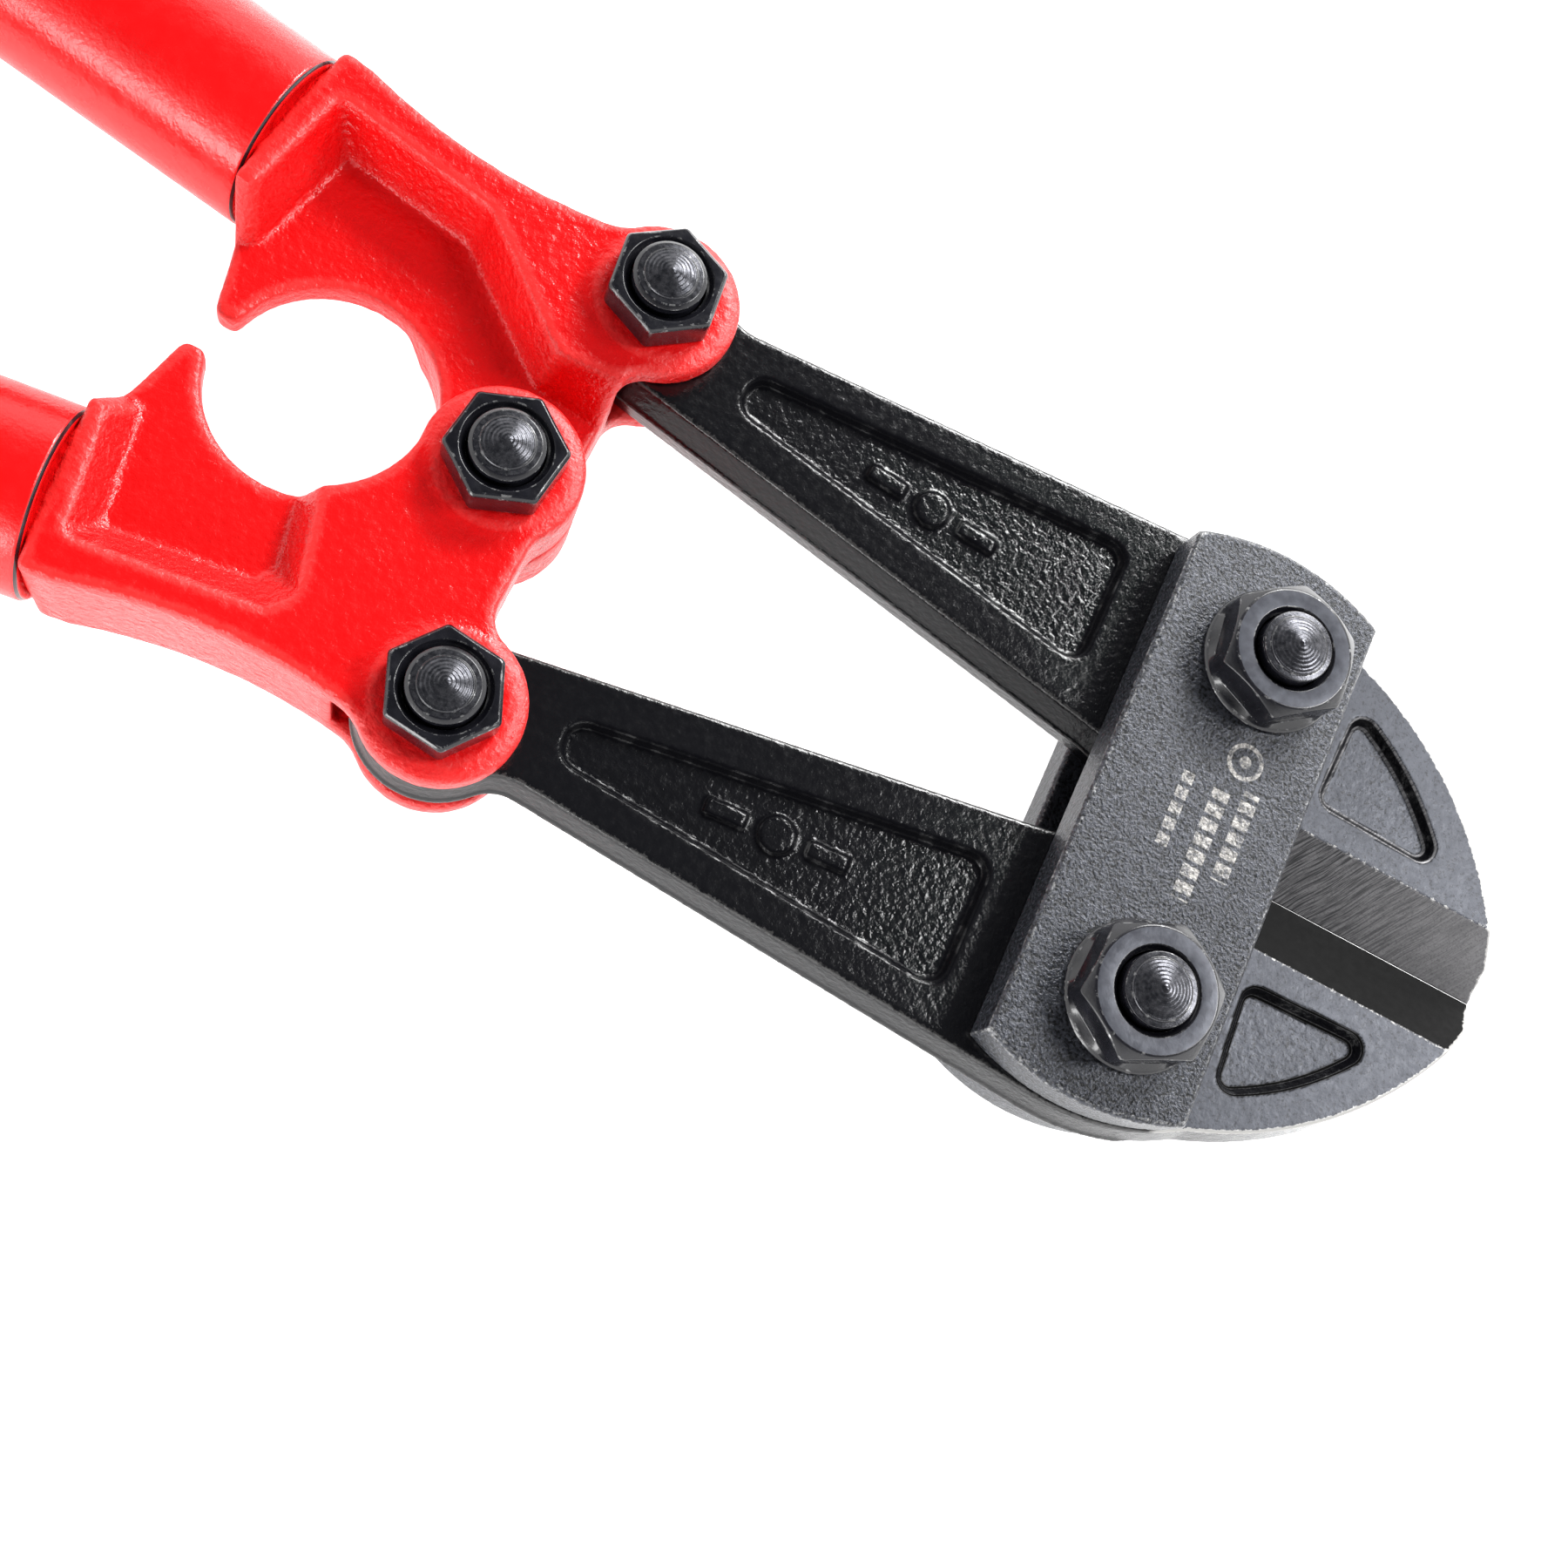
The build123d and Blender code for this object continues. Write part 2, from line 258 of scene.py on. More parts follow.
def rounded(corners, worn=None):
    """Profile points of (radius, height, rounding, material), each corner turned into a small arc.

    The arc takes the material worn, where that is given.
    """
    points = []
    for i, (r, z, rounding, material) in enumerate(corners):
        if not rounding or i in (0, len(corners) - 1):
            points.append((r, z, material))
            continue
        (r0, z0), (r1, z1) = corners[i - 1][:2], corners[i + 1][:2]
        before, after = sqrt((r0 - r) ** 2 + (z0 - z) ** 2), sqrt((r1 - r) ** 2 + (z1 - z) ** 2)
        reach = min(rounding, 0.45 * before, 0.45 * after)
        start = (r + (r0 - r) * reach / before, z + (z0 - z) * reach / before)
        end = (r + (r1 - r) * reach / after, z + (z1 - z) * reach / after)
        for t in (0.0, 0.25, 0.5, 0.75, 1.0):
            across = ((1 - t) ** 2 * start[0] + 2 * t * (1 - t) * r + t * t * end[0],
                      (1 - t) ** 2 * start[1] + 2 * t * (1 - t) * z + t * t * end[1])
            points.append((*across, material if t == 1.0 or worn is None else worn))
    return points


def hex_radius(angle, across, turn):
    """Distance from the axis to the side of a hexagon with a corner at the angle turn."""
    off = (angle - turn) % (pi / 3) - pi / 6
    return min(across / 2 / cos(off), across / sqrt(3) - 0.12)


# -------------------------------------------------------------------------------------- materials
class Recipe:
    """A material under construction: short names for the nodes it is made of."""

    def __init__(self, name, color, rough, metallic=0.0, coat=0.0, coat_rough=0.1):
        self.material = bpy.data.materials.new(name)
        self.material.use_nodes = True
        self.nodes = self.material.node_tree.nodes
        self.links = self.material.node_tree.links
        self.shader = self.nodes["Principled BSDF"]
        self.shader.inputs["Base Color"].default_value = (*color, 1)
        self.shader.inputs["Roughness"].default_value = rough
        self.shader.inputs["Metallic"].default_value = metallic
        self.shader.inputs["Coat Weight"].default_value = coat
        self.shader.inputs["Coat Roughness"].default_value = coat_rough
        self.place = self.node("ShaderNodeTexCoord").outputs["Object"]

    def node(self, kind, **sockets):
        node = self.nodes.new(kind)
        for name, value in sockets.items():
            self.put(node.inputs[name.replace("_", " ")], value)
        return node

    def put(self, socket, value):
        if isinstance(value, bpy.types.NodeSocket):
            self.links.new(value, socket)
        else:
            socket.default_value = value

    def noise(self, size, detail=2.0, rough=0.5, place=None):
        """Noise with features of that size in metres."""
        node = self.node("ShaderNodeTexNoise", Vector=place or self.place, Scale=1.0 / size, Detail=detail,
                         Roughness=rough)
        return node.outputs["Fac"]

    def cells(self, size):
        return self.node("ShaderNodeTexVoronoi", Vector=self.place, Scale=1.0 / size).outputs["Distance"]

    def ramp(self, value, low, high, start=0.0, end=1.0):
        """The value taken from low..high to start..end, and held there."""
        node = self.node("ShaderNodeMapRange", Value=value)
        for name, number in (("From Min", low), ("From Max", high), ("To Min", start), ("To Max", end)):
            node.inputs[name].default_value = number
        return node.outputs[0]

    def math(self, operation, a, b=0.0):
        node = self.nodes.new("ShaderNodeMath")
        node.operation = operation
        self.put(node.inputs[0], a)
        self.put(node.inputs[1], b)
        return node.outputs[0]

    def blend(self, share, first, second):
        """Colour from first to second by share."""
        node = self.nodes.new("ShaderNodeMix")
        node.data_type = "RGBA"
        self.put(node.inputs[0], share)
        for socket, color in ((node.inputs[6], first), (node.inputs[7], second)):
            self.put(socket, (*color, 1) if isinstance(color, tuple) else color)
        return node.outputs[2]

    def band(self, value, middle, half):
        """1 where the value is within half of the middle, with a soft border."""
        return self.ramp(self.math("ABSOLUTE", self.math("SUBTRACT", value, middle)), half, half - 0.1 * MM)

    def attribute(self, name):
        node = self.nodes.new("ShaderNodeAttribute")
        node.attribute_name = name
        return node.outputs["Fac"]

    def axis(self, letter, place=None):
        return self.node("ShaderNodeSeparateXYZ", Vector=place or self.place).outputs[letter]

    def upright(self):
        """How far the surface faces up or down, 0 to 1."""
        return self.math("ABSOLUTE", self.axis("Z", self.node("ShaderNodeNewGeometry").outputs["Normal"]))

    def bump(self, *layers):
        """Layers of (height from 0 to 1, depth in metres), added up."""
        normal = None
        for height, depth in layers:
            node = self.node("ShaderNodeBump", Height=height, Distance=depth)
            if normal is not None:
                self.links.new(normal, node.inputs["Normal"])
            normal = node.outputs[0]
        self.links.new(normal, self.shader.inputs["Normal"])

    def use(self, **sockets):
        for name, value in sockets.items():
            self.put(self.shader.inputs[name.replace("_", " ")], value)
        return self.material


BRIGHT_RED, DEEP_RED = (0.76, 0.004, 0.005), (0.66, 0.003, 0.004)


def red_casting():
    """Thick glossy enamel over a sand-cast skin, rougher on the edges, which carry a painted highlight of
    lighter red.
    """
    r = Recipe("red_enamel_cast", (0.7, 0.003, 0.004), 0.26)
    edge = r.attribute("edge")
    # painted highlight: the edges are coloured a lighter red, broken up by noise
    painted_edge_highlight = r.ramp(r.math("ADD", edge, r.ramp(r.noise(0.8 * MM, 3, 0.7), 0.3, 0.7, -3.0, 1.0)), 1.0, 4.0)
    color = r.blend(r.ramp(r.noise(9 * MM, 2), 0.35, 0.7), BRIGHT_RED, DEEP_RED)
    color = r.blend(r.math("MULTIPLY", painted_edge_highlight, 0.2), color, (0.9, 0.08, 0.07))
    grain = r.noise(1.0 * MM, 3, 0.55)
    pores = r.ramp(r.cells(1.9 * MM), 0.0, 0.16)
    # the sloped walls keep more of the sand's grain than the flats
    slope = r.ramp(r.upright(), 0.97, 0.8, 1.0, 2.4)
    r.bump((r.math("MULTIPLY", grain, slope), 0.19 * MM), (r.noise(2.6 * MM, 2), 0.12 * MM),
           (pores, 0.02 * MM))
    rough = r.ramp(r.noise(1.5 * MM, 3), 0.3, 0.7, 0.19, 0.28)
    rough = r.math("ADD", rough, r.ramp(edge, 0.5, 3.0, 0.0, 0.14))
    return r.use(Base_Color=color, Roughness=rough)


def red_tube():
    """Satin enamel sprayed on drawn tube."""
    r = Recipe("red_enamel_tube", (0.7, 0.003, 0.004), 0.3)
    color = r.blend(r.ramp(r.noise(14 * MM, 3), 0.35, 0.7), BRIGHT_RED, DEEP_RED)
    r.bump((r.noise(0.7 * MM, 3, 0.6), 0.07 * MM), (r.noise(2.2 * MM, 1), 0.04 * MM))
    return r.use(Base_Color=color, Roughness=r.ramp(r.noise(2 * MM, 3), 0.3, 0.7, 0.2, 0.3))


def rolled_steel(r, recess, wall):
    """Colour of the blades' faces: clouded grey with short dark cracks, and painted shade in black on the
    recess walls.
    """
    cracks = r.ramp(r.noise(0.5 * MM, 3, 0.75), 0.54, 0.63)
    clouds = r.ramp(r.noise(5 * MM, 3, 0.6), 0.3, 0.7)
    steel = r.blend(clouds, (0.033, 0.036, 0.046), (0.05, 0.054, 0.067))
    steel = r.blend(r.math("MULTIPLY", cracks, r.ramp(recess, 0, 1, 0.65, 0.9)), steel, (0.008, 0.008, 0.01))
    # painted shade: the recess walls are coloured near black
    return r.blend(wall, steel, (0.004, 0.004, 0.005))


def grinding_lines(r, x, y):
    """Fine noise drawn out into slightly bent lines, slanting across the bevel."""
    slant = radians(58)
    bend = r.math("MULTIPLY", r.noise(16 * MM, 1), 2.2 * MM)
    across = r.math("ADD", r.math("MULTIPLY", x, sin(slant)), r.math("MULTIPLY", y, -cos(slant)))
    along = r.math("ADD", r.math("MULTIPLY", x, cos(slant)), r.math("MULTIPLY", y, sin(slant)))
    stroke = r.node("ShaderNodeCombineXYZ", X=r.math("ADD", across, bend), Y=r.math("MULTIPLY", along, 0.05))
    return r.noise(0.24 * MM, 2.0, 0.6, place=stroke.outputs[0])


def cut_bevel(r, x, lines):
    """Colour of the upper bevel: bright, lined, and speckled with dark; the lines fade towards the tip."""
    deep = r.ramp(x, PLATE_X + 22 * MM, PLATE_X + 46 * MM, 1.0, 0.25)
    dark_lines = r.math("MULTIPLY", r.ramp(lines, 0.6, 0.4), deep)
    cut = r.blend(dark_lines, (0.22, 0.216, 0.222), (0.045, 0.045, 0.048))
    speckle = r.ramp(r.noise(0.3 * MM, 4, 0.75), 0.5, 0.62)
    return r.blend(r.math("MULTIPLY", speckle, 0.45), cut, (0.05, 0.05, 0.053))


def black_forging():
    """Black lacquer over a forged skin; the blades ahead of the plates are ground to grey steel."""
    r = Recipe("black_forging", (0.004, 0.004, 0.005), 0.3)
    x, y = r.axis("X"), r.axis("Y")
    recess, wall = r.attribute("recess"), r.attribute("wall")
    upright = r.upright()
    ahead = r.ramp(x, PLATE_X + 11 * MM, PLATE_X + 12 * MM)
    ground = r.math("MULTIPLY", ahead, r.ramp(upright, 0.66, 0.78))
    bevel = r.math("MULTIPLY", ground, r.ramp(upright, 0.975, 0.94))
    # painted shade: the lower jaw's bevel, ground like the upper one, is coloured near black, rougher,
    # duller and not metallic
    painted_shade_bevel = r.math("MULTIPLY", bevel, r.ramp(y, 0.001 * MM, 0.0))
    lines = grinding_lines(r, x, y)
    color = r.blend(ground, (0.0035, 0.0035, 0.0045), rolled_steel(r, recess, wall))
    color = r.blend(bevel, color, cut_bevel(r, x, lines))
    color = r.blend(painted_shade_bevel, color, (0.004, 0.004, 0.004))
    # bright chips along the blade's outline, none on the cutting edge itself
    off_edge = r.ramp(r.math("ABSOLUTE", y), 0.6 * MM, 1.2 * MM)
    chips = r.math("ADD", r.attribute("edge"), r.ramp(r.noise(0.7 * MM, 4, 0.75), 0.3, 0.7, -4.2, 0.6))
    worn = r.math("MULTIPLY", r.ramp(chips, 1.6, 3.0), off_edge)
    worn = r.math("MULTIPLY", worn, r.ramp(ahead, 0, 1, 0.06, 0.65))
    color = r.blend(worn, color, (0.62, 0.61, 0.59))
    # the lacquer is more wrinkled in the recesses and towards the plates than elsewhere
    near = r.ramp(x, PLATE_X - 75 * MM, PLATE_X - 18 * MM, 0.6, 1.0)
    skin = r.math("MULTIPLY", r.ramp(ground, 0.0, 1.0, 1.0, 0.4), r.ramp(bevel, 0, 1, 1, 0.3))
    skin = r.math("MULTIPLY", skin, near)
    wrinkle = r.math("MULTIPLY", skin, r.ramp(recess, 0, 1, 0.45, 1.0))
    r.bump((r.math("MULTIPLY", r.noise(0.4 * MM, 3, 0.65), skin), 0.045 * MM),
           (r.math("MULTIPLY", r.noise(0.95 * MM, 2), wrinkle), 0.2 * MM),
           (r.math("MULTIPLY", lines, bevel), 0.015 * MM))
    uneven = r.ramp(r.noise(1.2 * MM, 3), 0.3, 0.7, -0.04, 0.05)
    rough = r.math("ADD", r.ramp(ground, 0, 1, 0.17, 0.4), uneven)
    rough = r.math("ADD", rough, r.math("MULTIPLY", painted_shade_bevel, 0.3))
    metal = r.math("MULTIPLY", r.math("SUBTRACT", ground, painted_shade_bevel), 0.4)
    shine = r.math("SUBTRACT", r.ramp(upright, 0.3, 0.75, 0.2, 0.55), r.math("MULTIPLY", painted_shade_bevel, 0.45))
    # the recess walls catch the light only in places
    dull = r.math("MULTIPLY", wall, r.ramp(r.noise(3 * MM, 3), 0.52, 0.66, 0.92, 0.3))
    shine = r.math("MULTIPLY", shine, r.math("SUBTRACT", 1.0, dull))
    return r.use(Base_Color=color, Roughness=rough, Metallic=metal, Specular_IOR_Level=shine)


def etched_marks(r):
    """Faint generic marks in the plate's top: a ring with a dot, and three rows of dashes."""
    x, y = r.math("SUBTRACT", r.axis("X"), PLATE_X), r.axis("Y")
    ring_x, ring_y, ring_radius = 1.9 * MM, 10.4 * MM, 2.3 * MM
    away = r.math("SQRT", r.math("ADD", r.math("POWER", r.math("SUBTRACT", x, ring_x), 2.0),
                                 r.math("POWER", r.math("SUBTRACT", y, ring_y), 2.0)))
    mark = r.math("MAXIMUM", r.band(away, ring_radius, 0.35 * MM), r.band(away, 0.0, 0.9 * MM))
    # the shift keeps the folded value above zero
    shift = 0.1
    dashes = r.ramp(r.math("PINGPONG", r.math("ADD", y, shift), 1.15 * MM), 0.3 * MM, 0.4 * MM)
    rows = ((4.4, 1.2, 0.3, 6.6), (0.4, 1.3, -2.8, 8.1), (-4.6, 0.9, -0.2, 5.8))
    for row, half_height, middle, half_length in rows:
        line = r.math("MULTIPLY", r.band(x, row * MM, half_height * MM),
                      r.band(y, middle * MM, half_length * MM))
        mark = r.math("MAXIMUM", mark, r.math("MULTIPLY", line, dashes))
    unrubbed = r.ramp(r.noise(0.7 * MM, 4, 0.7), 0.36, 0.6, 0.85, 0.1)
    on_top = r.ramp(r.axis("Z"), MID + 13.2 * MM, MID + 13.3 * MM)
    return r.math("MULTIPLY", mark, r.math("MULTIPLY", unrubbed, on_top))


def plate_finish():
    """Dark grained skin with a soft sheen, and bright worn edges."""
    r = Recipe("plate_grain", (0.05, 0.052, 0.06), 0.36, metallic=0.3)
    wrinkle = r.noise(0.42 * MM, 3, 0.6)
    color = r.blend(r.ramp(wrinkle, 0.38, 0.62), (0.0025, 0.0026, 0.0032), (0.062, 0.066, 0.08))
    chips = r.math("ADD", r.attribute("edge"), r.ramp(r.noise(0.6 * MM, 3, 0.7), 0.3, 0.7, -3.0, 0.8))
    color = r.blend(r.math("MULTIPLY", r.ramp(chips, 1.0, 3.4), 0.8), color, (0.4, 0.4, 0.4))
    color = r.blend(etched_marks(r), color, (0.46, 0.44, 0.41))
    r.bump((wrinkle, 0.2 * MM), (r.noise(0.9 * MM, 2), 0.08 * MM))
    return r.use(Base_Color=color, Roughness=r.ramp(wrinkle, 0.3, 0.7, 0.34, 0.24))


def black_oxide():
    """Oiled black oxide on a machined fastener."""
    r = Recipe("black_oxide", (0.008, 0.008, 0.011), 0.2, coat=0.25, coat_rough=0.1)
    color = r.blend(r.ramp(r.noise(3 * MM, 4), 0.4, 0.75), (0.004, 0.004, 0.006), (0.012, 0.012, 0.016))
    r.bump((r.noise(0.5 * MM, 3), 0.02 * MM), (r.noise(3 * MM, 2), 0.04 * MM))
    return r.use(Base_Color=color, Roughness=r.ramp(r.noise(1.2 * MM, 3), 0.3, 0.7, 0.14, 0.28))


def turned_steel():
    """The turned end of a bolt: dark, with a dull shine."""
    r = Recipe("turned_end", (0.04, 0.04, 0.045), 0.24, metallic=0.7)
    color = r.blend(r.ramp(r.noise(0.8 * MM, 4, 0.7), 0.35, 0.72), (0.02, 0.021, 0.026), (0.09, 0.09, 0.1))
    r.bump((r.noise(0.3 * MM, 3), 0.015 * MM))
    return r.use(Base_Color=color, Roughness=r.ramp(r.noise(0.7 * MM, 3), 0.3, 0.7, 0.18, 0.34))


def nut_face():
    """Satin grey face of a flange nut."""
    r = Recipe("nut_face", (0.07, 0.073, 0.09), 0.3, metallic=0.4)
    color = r.blend(r.ramp(r.noise(1.2 * MM, 4), 0.35, 0.7), (0.032, 0.034, 0.044), (0.062, 0.066, 0.08))
    r.bump((r.noise(0.4 * MM, 3), 0.012 * MM))
    return r.use(Base_Color=color)


def worn_edge():
    """Bright rubbed edge of a fastener, broken up."""
    r = Recipe("rubbed_edge", (0.3, 0.3, 0.31), 0.26)
    worn = r.ramp(r.noise(1.3 * MM, 4, 0.7), 0.55, 0.72)
    color = r.blend(worn, (0.008, 0.008, 0.011), (0.34, 0.34, 0.34))
    return r.use(Base_Color=color, Metallic=r.math("MULTIPLY", worn, 0.8))


def grip_rubber():
    """Matt moulded rubber."""
    r = Recipe("grip_rubber", (0.022, 0.022, 0.024), 0.62)
    color = r.blend(r.ramp(r.noise(6 * MM, 3), 0.35, 0.7), (0.018, 0.018, 0.02), (0.034, 0.034, 0.036))
    r.bump((r.noise(0.5 * MM, 3), 0.05 * MM))
    return r.use(Base_Color=color, Roughness=r.ramp(r.noise(2 * MM, 3), 0.3, 0.7, 0.55, 0.72))


ENAMEL_CAST, ENAMEL_TUBE, FORGING, PLATE = red_casting(), red_tube(), black_forging(), plate_finish()
OXIDE, TURNED, FACE, WORN, RUBBER = black_oxide(), turned_steel(), nut_face(), worn_edge(), grip_rubber()


# ------------------------------------------------------------------------------------------ heads
def add_head(side):
    node = f"{side}_handle_head"
    piece = remeshed(f"{side}_head_casting", node, 0.36 * MM)
    mesh = piece.data
    set_points(mesh, relaxed(mesh, points_of(mesh), 14))
    mark_edges(mesh, 14)
    body_part(piece, node, [ENAMEL_CAST])
    rough_skin(piece, f"{side}_sand_skin", 1.4 * MM, 0.1 * MM)


# ------------------------------------------------------------------------------------------- jaws
# Loose outlines round the upper jaw's recesses, in mm, with X from the plate bolts.
ARM_RECESS = [(-82, 22.5), (-20, 13), (-19, 36), (-81, 32)]
BLADE_RECESS = [(14, 12), (39, 11), (31, 25), (15, 33)]


def marks(side):
    """Raised generic marks on the floor of the arm's upper recess: a disc between two short dashes."""
    sign = 1 if side == "upper" else -1
    slant = -sign * radians(4)
    along = Vector((cos(slant), sin(slant), 0))
    middle = Vector((PLATE_X - 49.0 * MM, sign * 25.4 * MM, MID + JAW_HALF - RECESS_DEPTH))
    height = 1.3 * MM

    def add(shape):
        add_disc(shape, middle, 2.5 * MM, height)
        for away in (-7.2 * MM, 7.2 * MM):
            add_box(shape, middle + along * away, (5.6 * MM, 2.2 * MM, height), slant)
    return add


def inside(points, corners, sign):
    """Which points lie over the convex outline, whose Y is mirrored where the sign is -1."""
    x, y = points[:, 0] / MM - PLATE_X / MM, points[:, 1] / MM * sign
    within = np.ones(len(points), bool)
    for (x0, y0), (x1, y1) in zip(corners, corners[1:] + corners[:1]):
        within &= (x1 - x0) * (y - y0) - (y1 - y0) * (x - x0) > 0
    return within


def add_jaw(side):
    node = f"{side}_jaw"
    sign = 1 if side == "upper" else -1
    piece = remeshed(f"{side}_jaw_forging", node, 0.27 * MM, marks(side))
    mesh = piece.data
    points = points_of(mesh)
    blade = np.clip((points[:, 0] - (PLATE_X + 9 * MM)) / (2 * MM), 0, 1)
    recesses = inside(points, ARM_RECESS, sign) | inside(points, BLADE_RECESS, sign)
    points = relaxed(mesh, points, 9, (1.0 - 0.9 * blade) * np.where(recesses, 0.6, 1.0))
    # the cutting edge comes up to its neighbour, short of touching it
    edge_gap = 0.03 * MM
    reach = (points[blade == 1.0, 1] * sign).min() - edge_gap
    points[:, 1] -= sign * reach * blade * np.exp(-(points[:, 1] / (1.0 * MM)) ** 4)
    set_points(mesh, points)
    # the parting line left by the forging dies, all round the outer side walls but not in the bores
    normals = normals_of(mesh)
    wall = np.clip(1 - np.abs(normals[:, 2]) * 2, 0, 1) * (1 - blade)
    wall *= np.clip(np.abs(points[:, 1]) / MM - 1, 0, 1)
    for x, y in ((PLATE_X, PLATE_BOLT_Y), (JAW_PIVOT_X, JAW_PIVOT_Y)):
        wall *= np.hypot(points[:, 0] - x, points[:, 1] - sign * y) > 9 * MM
    ridge_width, ridge_height = 0.4 * MM, 0.35 * MM
    ridge = wall * np.exp(-((points[:, 2] - MID) / ridge_width) ** 2) * ridge_height
    set_points(mesh, points + normals * ridge[:, None])
    mark_edges(mesh, 6, np.where(recesses, 0.15, 1.0))
    # the wall attribute marks the recess walls; on the blades it carries painted shade in black, and
    # everywhere it dulls the shine
    sunk, sloped = np.abs(points[:, 2] - MID) < JAW_HALF - 0.25 * MM, np.abs(normals[:, 2]) < 0.985
    for name, chosen in (("recess", sunk), ("wall", sloped)):
        values = (recesses & chosen).astype(np.float32)
        mesh.attributes.new(name, "FLOAT", "POINT").data.foreach_set("value", values)
    body_part(piece, node, [FORGING])
    lacquered = piece.vertex_groups.new(name="lacquered")
    for share, chosen in ((0.15, blade > 0.5), (1.0, blade <= 0.5)):
        lacquered.add(np.nonzero(chosen)[0].tolist(), share, "REPLACE")
    rough_skin(piece, f"{side}_forged_skin", 0.9 * MM, 0.06 * MM, group="lacquered")


# ----------------------------------------------------------------------------------------- plates
def add_plate(name):
    node = f"{name}_cover_plate"
    piece = remeshed(f"{name}_plate_shell", node, 0.22 * MM)
    mesh = piece.data
    set_points(mesh, relaxed(mesh, points_of(mesh), 3))
    mark_edges(mesh, 5)
    body_part(piece, node, [PLATE])
    rough_skin(piece, f"{name}_plate_grain", 0.7 * MM, 0.07 * MM, 1)


# -------------------------------------------------------------------------------- bolts and nuts
# In these profiles material 0 is the main finish, 1 its rubbed edges and 2 the turned end or the face.
SHANK = 4.86                     # clears the bores of the castings and forgings, whose skin is rough
CONE = 2.05                      # the thread stops this far from the bolt's end


def bolt_profile(angle, across, turn, head_low, head_high, end, thread_from, rim):
    """Hexagon head beneath, shank, helical thread and a cone turned in rings."""
    corner = hex_radius(angle, across, turn)
    points = rounded([(0, head_low, 0, 0), (across / 2 - 0.7, head_low, 0.2, 0),
                      (corner, head_low + 0.6, 0.25, 0), (corner, head_high, 0.15, 0),
                      (SHANK, head_high, 0, 0)], 1)
    pitch, depth = 1.5, 0.35
    steps = 48
    last = end - CONE
    for i in range(steps + 1):
        z = thread_from + (last - thread_from) * i / steps
        phase = (z / pitch - angle / (2 * pi)) % 1
        fade = min(1.0, (z - thread_from) / pitch, (last - z) / (0.4 * pitch))
        points.append((SHANK - depth * fade * (1 - abs(2 * phase - 1)), z, 0))
    step = rim - 0.75
    points += rounded([(SHANK, last + 0.05, 0, 0), (SHANK - 0.03, last + 0.2, 0.1, 0),
                       (rim, last + 0.6, 0.12, 2), (step, last + 0.68, 0.1, 2),
                       (step - 0.15, last + 0.88, 0.1, 2), (step - 0.3, last + 0.92, 0, 2)], 1)
    base, dome_radius, rings = last + 0.92, step - 0.3, 60
    groove_pitch, groove_depth = 0.52, 0.03
    for i in range(1, rings + 1):
        r = dome_radius * (1 - i / rings)
        dome = (end - base) * (1 - (r / dome_radius) ** 1.15)
        groove = groove_depth * (0.5 + 0.5 * cos(2 * pi * r / groove_pitch)) * min(1.0, r / 0.5)
        points.append((r, base + dome - groove, 2))
    return points


def add_bolt(node, x, y, across, turn, head_low, head_high, end, thread_from, rim):
    turn = radians(turn)
    place = Matrix.Translation((x, y, MID))
    piece = spin(node + "_turned", lambda angle: bolt_profile(angle, across, turn, head_low, head_high, end,
                                                              thread_from, rim), place, first=turn)
    body_part(piece, node, [OXIDE, WORN, TURNED])


def add_nut(node, x, y, across, turn, base, thickness, flange=0.0, face=0.0):
    turn = radians(turn)
    top = base + thickness

    def profile(angle):
        corner = hex_radius(angle, across, turn)
        bore, sink = 5.07, 5.75 if flange else 5.95
        inner = [(bore, base, 0, 0), (bore, top - 0.95, 0.1, 0)]
        if flange:
            slope = tan(radians(38))
            shoulder = top - (corner - face) * slope
            outer = [(sink, top, 0.12, 2), (face, top, 0.18, 0), (corner, shoulder, 0.2, 0),
                     (corner, base + 1.75, 0.15, 0), (flange - 0.35, base + 0.95, 0.15, 0),
                     (flange, base + 0.6, 0.12, 0), (flange - 0.1, base + 0.02, 0.1, 0)]
        else:
            outer = [(sink, top, 0.12, 0), (corner - 0.42, top, 0.16, 0), (corner, top - 0.42, 0.16, 0),
                     (corner, base + 0.5, 0.2, 0), (corner - 0.5, base + 0.02, 0, 0)]
        return rounded(inner + outer + [(bore + 0.3, base, 0, 0)], 1)

    piece = spin(node + "_turned", profile, Matrix.Translation((x, y, MID)), first=turn, closed=True)
    body_part(piece, node, [OXIDE, WORN, FACE])


def add_fasteners():
    """Heights are in mm from the middle plane; turns, in degrees, are those of the hexagons in the photo."""
    ear_top, plate_top = 9.8, 13.35
    plate_across, plate_thick = 17, 6.6
    across, head_thick, nut_thick = 14, 6, 5.1
    for name, side, nut_turn, plate_turn in (("upper", 1, -22.5, 37.0), ("lower", -1, 53.5, 25.6)):
        y = side * PLATE_BOLT_Y
        add_bolt(f"{name}_plate_bolt", PLATE_X, y, plate_across, plate_turn, -plate_top - plate_thick,
                 -plate_top, 22.6, 12.0, 4.75)
        add_nut(f"{name}_plate_flange_nut", PLATE_X, y, plate_across, plate_turn, plate_top, plate_thick,
                9.95, 8.1)
        x, y = JAW_PIVOT_X, side * JAW_PIVOT_Y
        add_bolt(f"{name}_jaw_pivot_bolt", x, y, across, nut_turn, -ear_top - head_thick, -ear_top,
                 17.6, 8.5, 4.3)
        add_nut(f"{name}_jaw_pivot_nut", x, y, across, nut_turn, ear_top, nut_thick)
    centre_turn = 23.5
    add_bolt("centre_pivot_bolt", CENTRE_X, 0, across, centre_turn, -ear_top - head_thick, -ear_top,
             17.3, 8.5, 4.3)
    add_nut("centre_pivot_nut", CENTRE_X, 0, across, centre_turn, ear_top, nut_thick)


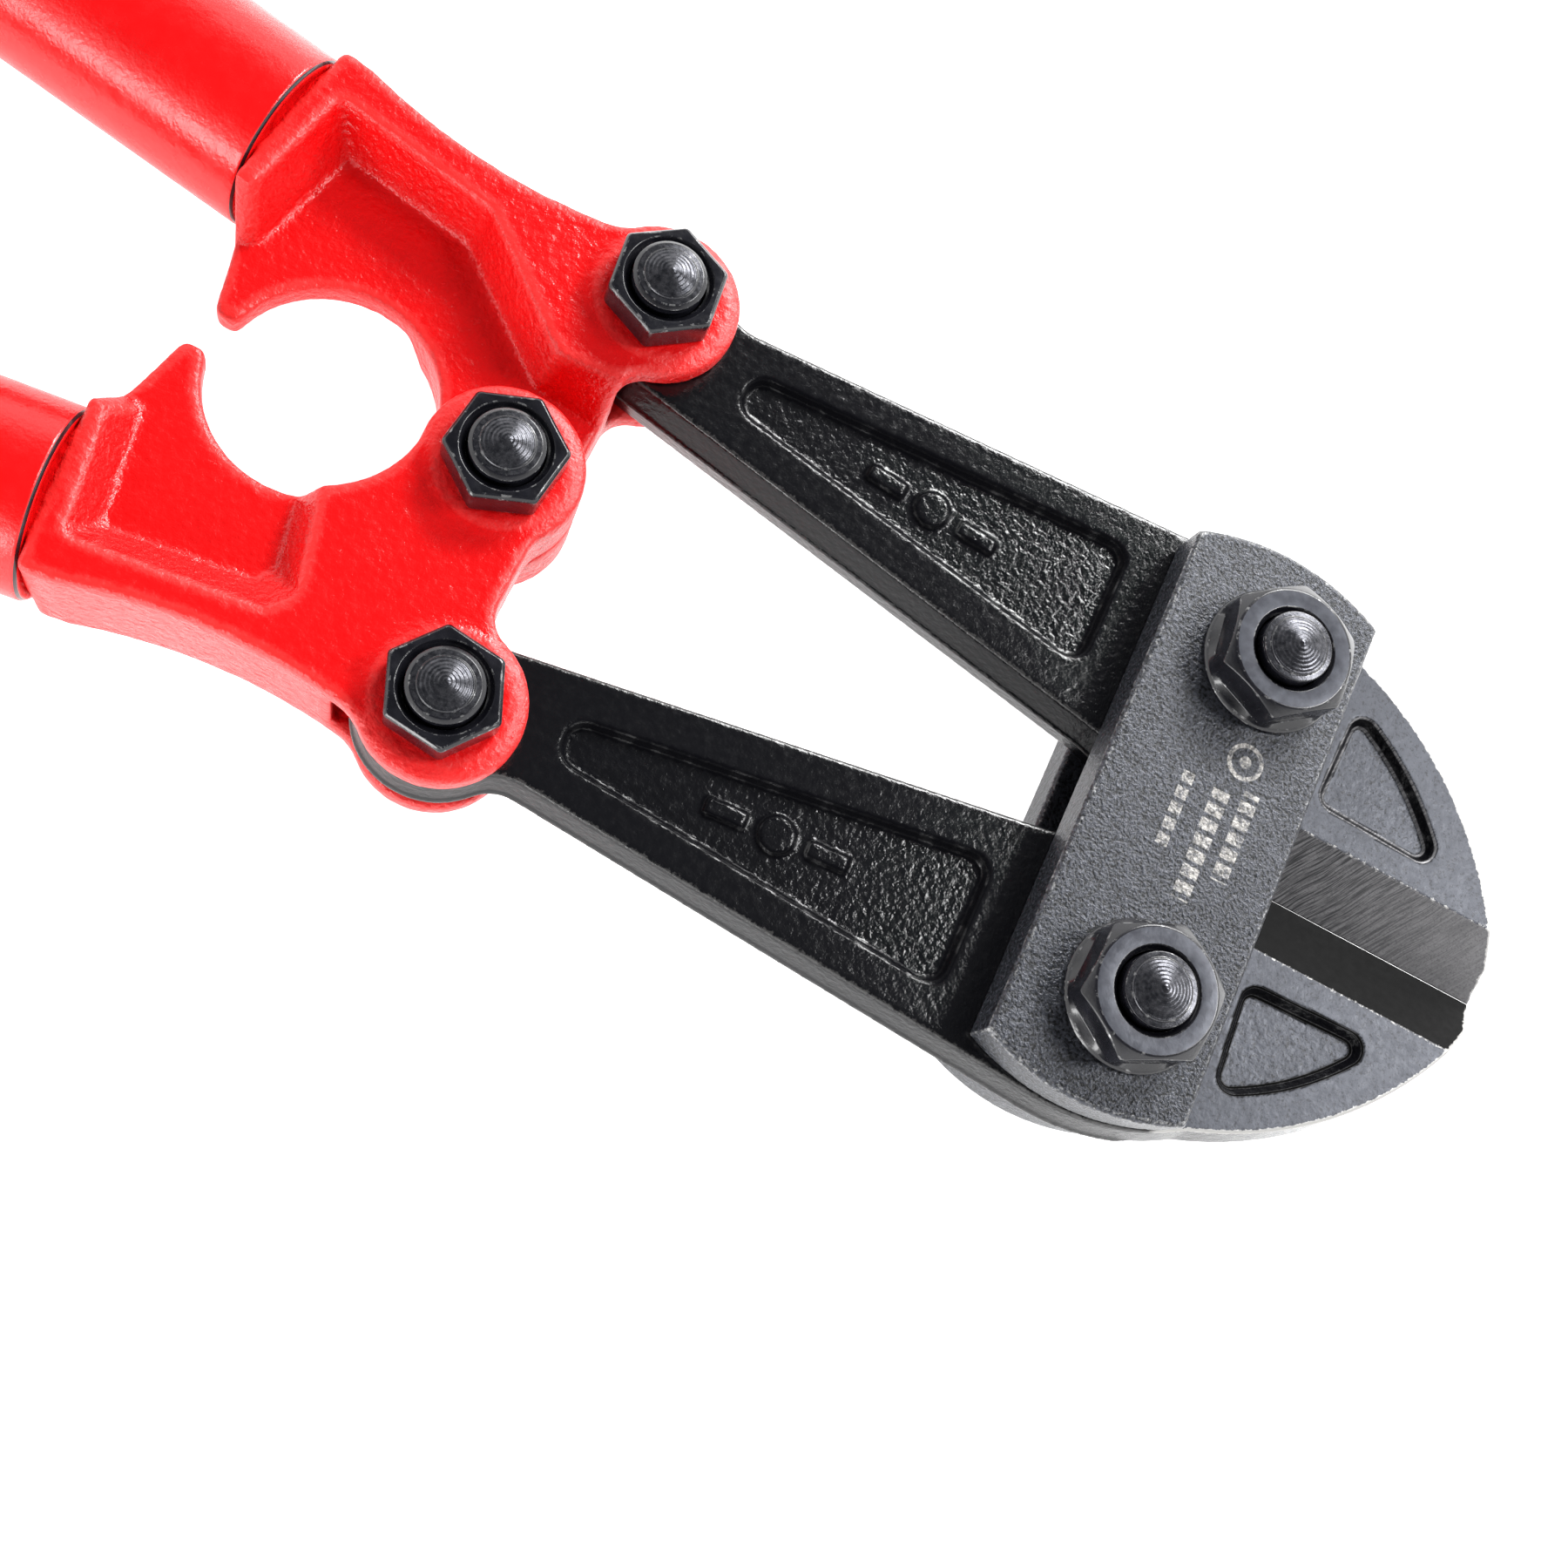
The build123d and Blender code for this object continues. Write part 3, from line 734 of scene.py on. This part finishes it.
# ----------------------------------------------------------------------------------------- handles
SPLAY = radians(7.7)
JOINT = Vector((-45.2, 29.15)) * MM      # middle of the flange face, from the centre pivot
HANDLE = 254.58                          # flange face to the end of the grip, mm
GRIP = 128.0                             # length of the grip, mm
RIBS, RIB_PITCH = 17, 5.4


def handle_place(side):
    """The handle's own frame: Z runs from the flange face to the end of the grip."""
    sign = 1 if side == "upper" else -1
    along = Vector((-cos(SPLAY), sign * sin(SPLAY), 0))
    across = Vector((0, 0, 1)).cross(along)
    turn = Matrix((across, Vector((0, 0, 1)).cross(along).cross(along) * -1, along)).transposed().to_4x4()
    return Matrix.Translation((CENTRE_X + JOINT.x, sign * JOINT.y, MID)) @ turn


def add_handle(side):
    place = handle_place(side)
    start, far, inner = 0.3, HANDLE - 3.2, TUBE_RADIUS - 1.8
    rows = 120
    outer = [(TUBE_RADIUS, start + (far - start) * i / rows, 0, 0) for i in range(1, rows + 1)]
    # painted shade: the chamfer at the flange takes the dark oxide finish, standing for the shadow in the
    # gap there
    end = [(inner, start, 0, 0), (TUBE_RADIUS - 0.45, start, 0, 1), (TUBE_RADIUS, start + 0.5, 0.2, 0)]
    tube = spin(f"{side}_tube_shell", lambda angle: rounded(end + outer + [(inner, far, 0, 0)]), place,
                segments=180, closed=True)
    body_part(tube, f"{side}_handle_tube", [ENAMEL_TUBE, OXIDE])
    rough_skin(tube, f"{side}_tube_skin", 2.0 * MM, 0.03 * MM)

    begin, cap = HANDLE - GRIP, 3.0
    bore, body, groove, collar = 12.72, 15.0, 14.2, 16.5

    def grip_profile(angle):
        points = [(bore, begin, 0, 0), (15.4, begin, 0.5, 0), (collar, begin + 1.2, 1.0, 0),
                  (collar, begin + 5.0, 1.0, 0), (body, begin + 6.4, 0.6, 0)]
        for i in range(RIBS):
            z = begin + 14 + i * RIB_PITCH
            points += [(body, z, 0.6, 0), (groove, z + 0.8, 0.6, 0), (groove, z + 1.9, 0.6, 0),
                       (body, z + 2.7, 0.6, 0)]
        points += [(body, HANDLE - 4.5, 3.0, 0), (13.6, HANDLE - 1.0, 2.5, 0), (9.5, HANDLE, 2.0, 0),
                   (0, HANDLE, 0, 0)]
        return rounded(points) + [(0, HANDLE - cap, 0), (bore, HANDLE - cap, 0)]

    grip = spin(f"{side}_grip_moulding", grip_profile, place, segments=120, closed=True)
    body_part(grip, f"{side}_handle_grip", [RUBBER])


for side in ("upper", "lower"):
    add_head(side)
    add_jaw(side)
    add_handle(side)
for name in ("front", "rear"):
    add_plate(name)
add_fasteners()
